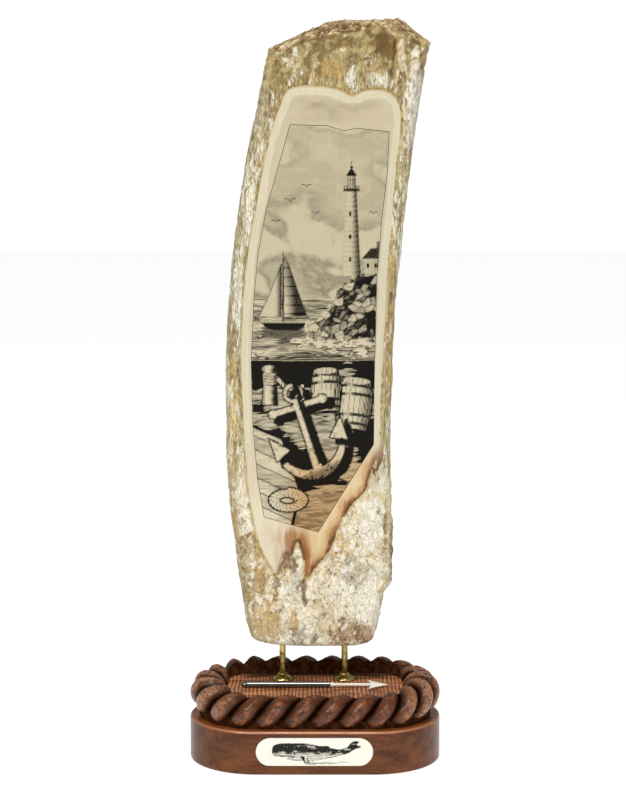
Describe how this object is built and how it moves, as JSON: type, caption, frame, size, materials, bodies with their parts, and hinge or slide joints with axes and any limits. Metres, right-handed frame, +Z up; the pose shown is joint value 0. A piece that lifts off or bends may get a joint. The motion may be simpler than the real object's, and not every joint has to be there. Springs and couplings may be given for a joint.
{
  "type": "scrimshaw tusk section on a carved stand",
  "caption": "Tall curved section of bark-covered old tusk with a polished, engraved face, on two brass posts over an oval wooden base with a carved rope border.",
  "frame": {"origin": "middle of the base's underside, on the surface that the base stands on", "axes": "+Z up along the tusk, -Y the way the polished face and the plaque look, +X to the right of someone who looks at that face"},
  "size_m": [0.1244, 0.0684, 0.3625],
  "materials": {
    "old_ivory": "old tusk: yellow-brown and white bark, with a polished cream face",
    "aged_brass": "drawn brass, a little aged",
    "brown_wood": "oiled brown hardwood, satin",
    "white_bone": "polished white bone or ivory",
    "black_ebony": "polished black wood"
  },
  "bodies": {
    "root": {"tusk": "old_ivory", "brass_post_left": "aged_brass", "brass_post_right": "aged_brass", "brass_collar_left": "aged_brass", "brass_collar_right": "aged_brass", "carved_base": "brown_wood", "whale_plaque": "white_bone", "harpoon_shaft": "black_ebony", "harpoon_head": "white_bone"}
  },
  "joints": []
}
